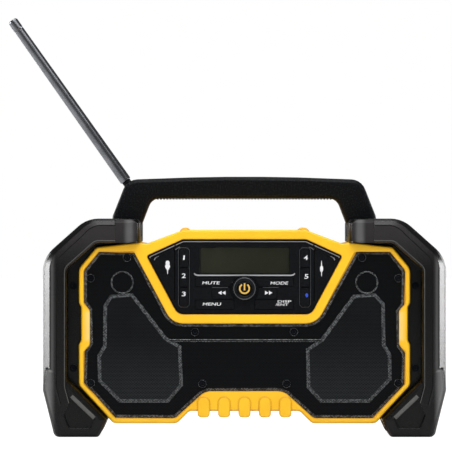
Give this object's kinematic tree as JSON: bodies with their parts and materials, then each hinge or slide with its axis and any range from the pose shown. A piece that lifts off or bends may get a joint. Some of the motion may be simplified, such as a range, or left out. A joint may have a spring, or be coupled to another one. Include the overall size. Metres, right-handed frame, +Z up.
{
  "type": "jobsite radio",
  "caption": "Portable jobsite radio with a rugged moulded body, corner bumper rails, stereo speakers, a carry handle, a swinging aerial and a rear battery bay.",
  "frame": {"origin": "centre of the footprint, on the plane of the feet", "axes": "+X to the right seen from the front, +Y to the back, +Z up"},
  "size_m": [0.5039, 0.19, 0.4826],
  "materials": {
    "yellow_shell": "satin moulded yellow",
    "black_shell": "fine moulded texture",
    "grille_metal": "powder coated",
    "rail_rubber": "satin charcoal",
    "grip_rubber": "matt",
    "aerial_cover": "satin",
    "key_rubber": "smooth",
    "knob": "satin",
    "lens": "clear, tinted",
    "display": "dark olive",
    "driver_paper": "coated paper and rubber",
    "driver_frame": "dark",
    "magnet": "ground",
    "board": "solder mask",
    "bright_metal": "plated",
    "steel_fasteners": "zinc plated",
    "black_screws": "black oxide"
  },
  "bodies": {
    "radio": {"front_housing": "yellow_shell", "rear_housing": "yellow_shell", "housing_seal": "grip_rubber", "speaker_grille": "grille_metal", "speaker_baffle": "black_shell", "left_woofer_basket": "driver_frame", "right_woofer_basket": "driver_frame", "woofer_cones": "driver_paper", "woofer_magnets": "magnet", "left_tweeter": "driver_frame", "right_tweeter": "driver_frame", "grille_screws": "black_screws", "control_panel": "black_shell", "display_window": "lens", "display_module": "display", "key_mat": "key_rubber", "control_board": "board", "volume_encoder": "bright_metal", "usb_socket": "bright_metal", "audio_socket": "black_shell", "main_board": "board", "front_left_rail": "rail_rubber", "front_right_rail": "rail_rubber", "rear_left_rail": "rail_rubber", "rear_right_rail": "rail_rubber", "rail_screws": "black_screws", "left_bridge": "rail_rubber", "right_bridge": "rail_rubber", "handle_front": "black_shell", "handle_rear": "black_shell", "handle_grip": "grip_rubber", "handle_bolts": "steel_fasteners", "handle_screws": "steel_fasteners", "aerial_screw": "steel_fasteners", "door_hinge_pin": "steel_fasteners", "battery_rails": "black_shell", "terminal_block": "black_shell", "power_inlet": "black_shell", "housing_screws": "steel_fasteners"},
    "volume_dial": {"volume_knob": "knob"},
    "power_push": {"power_button": "knob"},
    "preset_key_1_press": {"preset_key_1": "key_rubber"},
    "preset_key_2_press": {"preset_key_2": "key_rubber"},
    "preset_key_3_press": {"preset_key_3": "key_rubber"},
    "preset_key_4_press": {"preset_key_4": "key_rubber"},
    "preset_key_5_press": {"preset_key_5": "key_rubber"},
    "preset_key_6_press": {"preset_key_6": "key_rubber"},
    "seek_back_key_press": {"seek_back_key": "key_rubber"},
    "seek_forward_key_press": {"seek_forward_key": "key_rubber"},
    "mute_key_press": {"mute_key": "key_rubber"},
    "menu_key_press": {"menu_key": "key_rubber"},
    "mode_key_press": {"mode_key": "key_rubber"},
    "enter_key_press": {"enter_key": "key_rubber"},
    "left_port_cover": {"left_port_door": "black_shell"},
    "right_port_cover": {"right_port_door": "black_shell"},
    "aerial": {"aerial_mast": "aerial_cover", "aerial_hub": "black_shell", "aerial_cap": "aerial_cover"},
    "battery_cover": {"battery_door": "black_shell", "door_catch": "black_shell"}
  },
  "joints": [
    {"name": "volume_turn", "type": "hinge", "parent": "radio", "child": "volume_dial", "pos_m": [0, -0.0805, 0.1692], "axis": [0, 1, 0], "continuous": true},
    {"name": "power_press", "type": "slide", "parent": "radio", "child": "power_push", "axis": [0, 1, 0], "range_m": [0, 0.001], "stiffness_N_per_m": 1200, "springref_m": -0.0006},
    {"name": "preset_key_1_travel", "type": "slide", "parent": "radio", "child": "preset_key_1_press", "axis": [0, 1, 0], "range_m": [0, 0.001], "stiffness_N_per_m": 900, "springref_m": -0.0006},
    {"name": "preset_key_2_travel", "type": "slide", "parent": "radio", "child": "preset_key_2_press", "axis": [0, 1, 0], "range_m": [0, 0.001], "stiffness_N_per_m": 900, "springref_m": -0.0006},
    {"name": "preset_key_3_travel", "type": "slide", "parent": "radio", "child": "preset_key_3_press", "axis": [0, 1, 0], "range_m": [0, 0.001], "stiffness_N_per_m": 900, "springref_m": -0.0006},
    {"name": "preset_key_4_travel", "type": "slide", "parent": "radio", "child": "preset_key_4_press", "axis": [0, 1, 0], "range_m": [0, 0.001], "stiffness_N_per_m": 900, "springref_m": -0.0006},
    {"name": "preset_key_5_travel", "type": "slide", "parent": "radio", "child": "preset_key_5_press", "axis": [0, 1, 0], "range_m": [0, 0.001], "stiffness_N_per_m": 900, "springref_m": -0.0006},
    {"name": "preset_key_6_travel", "type": "slide", "parent": "radio", "child": "preset_key_6_press", "axis": [0, 1, 0], "range_m": [0, 0.001], "stiffness_N_per_m": 900, "springref_m": -0.0006},
    {"name": "seek_back_key_travel", "type": "slide", "parent": "radio", "child": "seek_back_key_press", "axis": [0, 1, 0], "range_m": [0, 0.001], "stiffness_N_per_m": 900, "springref_m": -0.0006},
    {"name": "seek_forward_key_travel", "type": "slide", "parent": "radio", "child": "seek_forward_key_press", "axis": [0, 1, 0], "range_m": [0, 0.001], "stiffness_N_per_m": 900, "springref_m": -0.0006},
    {"name": "mute_key_travel", "type": "slide", "parent": "radio", "child": "mute_key_press", "axis": [0, 1, 0], "range_m": [0, 0.001], "stiffness_N_per_m": 900, "springref_m": -0.0006},
    {"name": "menu_key_travel", "type": "slide", "parent": "radio", "child": "menu_key_press", "axis": [0, 1, 0], "range_m": [0, 0.001], "stiffness_N_per_m": 900, "springref_m": -0.0006},
    {"name": "mode_key_travel", "type": "slide", "parent": "radio", "child": "mode_key_press", "axis": [0, 1, 0], "range_m": [0, 0.001], "stiffness_N_per_m": 900, "springref_m": -0.0006},
    {"name": "enter_key_travel", "type": "slide", "parent": "radio", "child": "enter_key_press", "axis": [0, 1, 0], "range_m": [0, 0.001], "stiffness_N_per_m": 900, "springref_m": -0.0006},
    {"name": "left_port_hinge", "type": "hinge", "parent": "radio", "child": "left_port_cover", "pos_m": [-0.081, -0.079, 0.155], "axis": [0, 0, 1], "range_deg": [0, 95]},
    {"name": "right_port_hinge", "type": "hinge", "parent": "radio", "child": "right_port_cover", "pos_m": [0.081, -0.079, 0.155], "axis": [0, 0, -1], "range_deg": [0, 95]},
    {"name": "aerial_swing", "type": "hinge", "parent": "radio", "child": "aerial", "pos_m": [-0.1304, 0.0249, 0.2826], "axis": [0, 1, 0], "range_deg": [-30, 125.3]},
    {"name": "battery_door_hinge", "type": "hinge", "parent": "radio", "child": "battery_cover", "pos_m": [-0.089, 0.0805, 0.12], "axis": [0, 0, 1], "range_deg": [0, 110], "deforming": ["door_catch"]}
  ]
}
